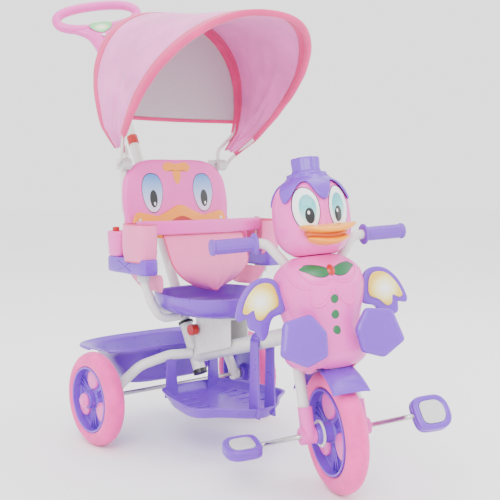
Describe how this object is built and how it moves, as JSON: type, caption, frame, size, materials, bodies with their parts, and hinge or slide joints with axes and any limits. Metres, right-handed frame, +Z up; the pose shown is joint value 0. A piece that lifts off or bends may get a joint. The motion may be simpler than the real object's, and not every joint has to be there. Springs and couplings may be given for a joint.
{
  "type": "children's tricycle",
  "caption": "Child's tricycle with a duck-shaped steering head, pedals, tray, rear basket, guard bar, folding canopy and parent push handle.",
  "frame": {"origin": "bottom centre of the whole object's box, on the floor", "axes": "+Z up, the tricycle faces -Y, +X is the rider's left"},
  "size_m": [0.53, 1.1802, 1.1201],
  "materials": {
    "cream_paint": "gloss powder coat",
    "grey_plastic": "satin",
    "black_plastic": "satin",
    "zinc_steel": "zinc plated",
    "purple_plastic": "moulded gloss",
    "purple_grip": "ribbed soft plastic",
    "pink_plastic": "moulded satin gloss",
    "yellow_plastic": "moulded gloss",
    "red_plastic": "moulded gloss",
    "pink_tyre": "foamed EVA, matt",
    "pink_vinyl": "soft sewn vinyl cloth",
    "canopy_cloth": "thin woven nylon",
    "window_mesh": "fine grey mesh"
  },
  "bodies": {
    "frame": {"main_tube": "cream_paint", "head_tube": "cream_paint", "pole_socket": "cream_paint", "socket_caps": "black_plastic", "rear_stays": "cream_paint", "rear_axle": "zinc_steel", "axle_washers": "zinc_steel", "seat_bracket": "cream_paint", "rear_basket": "purple_plastic", "footrest": "purple_plastic", "footrest_clamps": "purple_plastic", "head_bushes": "black_plastic"},
    "seat_unit": {"seat_pan": "purple_plastic", "back_frame": "cream_paint", "canopy_brackets": "grey_plastic", "backrest_panel": "pink_plastic", "backrest_beak": "yellow_plastic", "backrest_screws": "zinc_steel", "arm_posts": "cream_paint", "arm_collars": "grey_plastic", "arm_boxes": "purple_plastic", "arm_cups": "pink_plastic", "arm_sleeves": "pink_vinyl", "bar_hinge_pin": "zinc_steel", "side_panels": "pink_vinyl", "rear_hoop": "cream_paint", "rear_window": "window_mesh", "canopy_fabric": "canopy_cloth"},
    "safety_bar": {"safety_bar": "pink_plastic", "front_flap": "pink_vinyl"},
    "release_button": {"release_button": "red_plastic"},
    "front_hoop": {"front_hoop": "cream_paint"},
    "push_pole": {"push_pole": "cream_paint", "push_handle": "pink_plastic", "handle_screws": "zinc_steel"},
    "lock_knob": {"seat_lock_knob": "red_plastic"},
    "fork": {"fork_crown": "cream_paint", "fork_legs": "cream_paint", "fork_end_covers": "pink_plastic", "steering_stem": "zinc_steel", "front_fender": "purple_plastic", "duck_body": "pink_plastic", "duck_head": "pink_plastic", "duck_crown": "purple_plastic", "duck_bill": "yellow_plastic", "wings": "purple_plastic", "foot_plates": "purple_plastic", "handlebar": "cream_paint", "grips": "purple_grip"},
    "front_wheel": {"front_tyre": "pink_tyre", "front_rim": "purple_plastic", "crank": "zinc_steel"},
    "pedal_left": {"pedal_left": "purple_plastic"},
    "pedal_right": {"pedal_right": "purple_plastic"},
    "rear_wheel_left": {"rear_tyre_left": "pink_tyre", "rear_rim_left": "purple_plastic", "rear_hub_cap_left": "pink_plastic"},
    "rear_wheel_right": {"rear_tyre_right": "pink_tyre", "rear_rim_right": "purple_plastic", "rear_hub_cap_right": "pink_plastic"}
  },
  "joints": [
    {"name": "steering", "type": "hinge", "parent": "frame", "child": "fork", "pos_m": [0, -0.39941, 0.12156], "axis": [0, 0.1736, 0.9848], "range_deg": [-10, 50]},
    {"name": "front_wheel_spin", "type": "hinge", "parent": "fork", "child": "front_wheel", "pos_m": [-0.00684, -0.41792, 0.12482], "axis": [0.9397, -0.3368, 0.0594], "continuous": true},
    {"name": "pedal_left_spin", "type": "hinge", "parent": "front_wheel", "child": "pedal_left", "pos_m": [0.12186, -0.55306, 0.16765], "axis": [0.9397, -0.3368, 0.0594], "continuous": true},
    {"name": "pedal_right_spin", "type": "hinge", "parent": "front_wheel", "child": "pedal_right", "pos_m": [-0.13554, -0.28278, 0.08199], "axis": [0.9397, -0.3368, 0.0594], "continuous": true},
    {"name": "rear_wheel_left_spin", "type": "hinge", "parent": "frame", "child": "rear_wheel_left", "pos_m": [0.226, 0.15389, 0.11], "axis": [1, 0, 0], "continuous": true},
    {"name": "rear_wheel_right_spin", "type": "hinge", "parent": "frame", "child": "rear_wheel_right", "pos_m": [-0.226, 0.15389, 0.11], "axis": [1, 0, 0], "continuous": true},
    {"name": "seat_slide", "type": "slide", "parent": "frame", "child": "seat_unit", "axis": [0, -1, 0], "range_m": [0, 0.03]},
    {"name": "bar_swing", "type": "hinge", "parent": "seat_unit", "child": "safety_bar", "pos_m": [0.166, 0.04029, 0.512], "axis": [0, 0, 1], "range_deg": [0, 50]},
    {"name": "button_press", "type": "slide", "parent": "seat_unit", "child": "release_button", "axis": [0, 0, -1], "range_m": [0, 0.005], "stiffness_N_per_m": 400},
    {"name": "canopy_fold", "type": "hinge", "parent": "seat_unit", "child": "front_hoop", "pos_m": [0, 0.15389, 0.657], "axis": [1, 0, 0], "range_deg": [-42, 0], "deforming": ["canopy_fabric"]},
    {"name": "pole_lift", "type": "slide", "parent": "frame", "child": "push_pole", "axis": [0, 0.4679, 0.8838], "range_m": [0, 0.1]},
    {"name": "lock_knob_turn", "type": "hinge", "parent": "frame", "child": "lock_knob", "pos_m": [-0.027, 0.02389, 0.27], "axis": [-1, 0, 0], "range_deg": [0, 180]}
  ]
}
